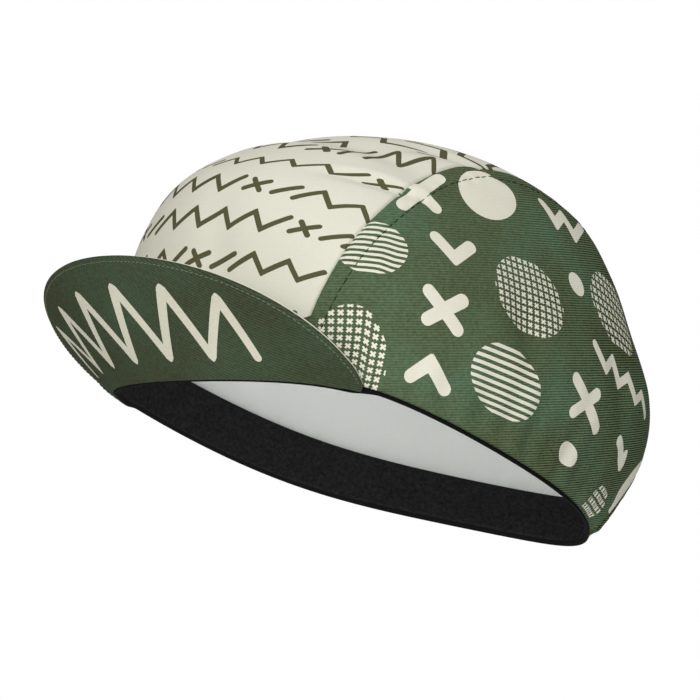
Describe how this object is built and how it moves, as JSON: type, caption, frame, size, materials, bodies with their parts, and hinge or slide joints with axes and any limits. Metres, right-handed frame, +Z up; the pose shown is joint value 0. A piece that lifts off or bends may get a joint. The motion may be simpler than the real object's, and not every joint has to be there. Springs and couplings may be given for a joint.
{
  "type": "cycling cap",
  "caption": "Soft close-fitting cycling cap in printed cloth: domed crown of a centre panel between two side panels, elastic sweatband, short flipped-up peak.",
  "frame": {"origin": "middle of the head opening, level with the lower edge of the sweatband at the sides", "axes": "-Y towards the peak, +X towards the wearer's left, +Z up through the top of the crown"},
  "size_m": [0.1617, 0.2451, 0.1152],
  "materials": {
    "cream_print": "matt printed polyester, cream with olive strokes",
    "green_print": "matt printed polyester, green with cream motifs",
    "black_elastic": "matt brushed elastic"
  },
  "bodies": {
    "root": {"crown_centre_panel": "cream_print", "crown_left_panel": "green_print", "crown_right_panel": "green_print", "elastic_sweatband": "black_elastic", "peak_under_cover": "green_print", "peak_top_cover": "cream_print"}
  },
  "joints": []
}
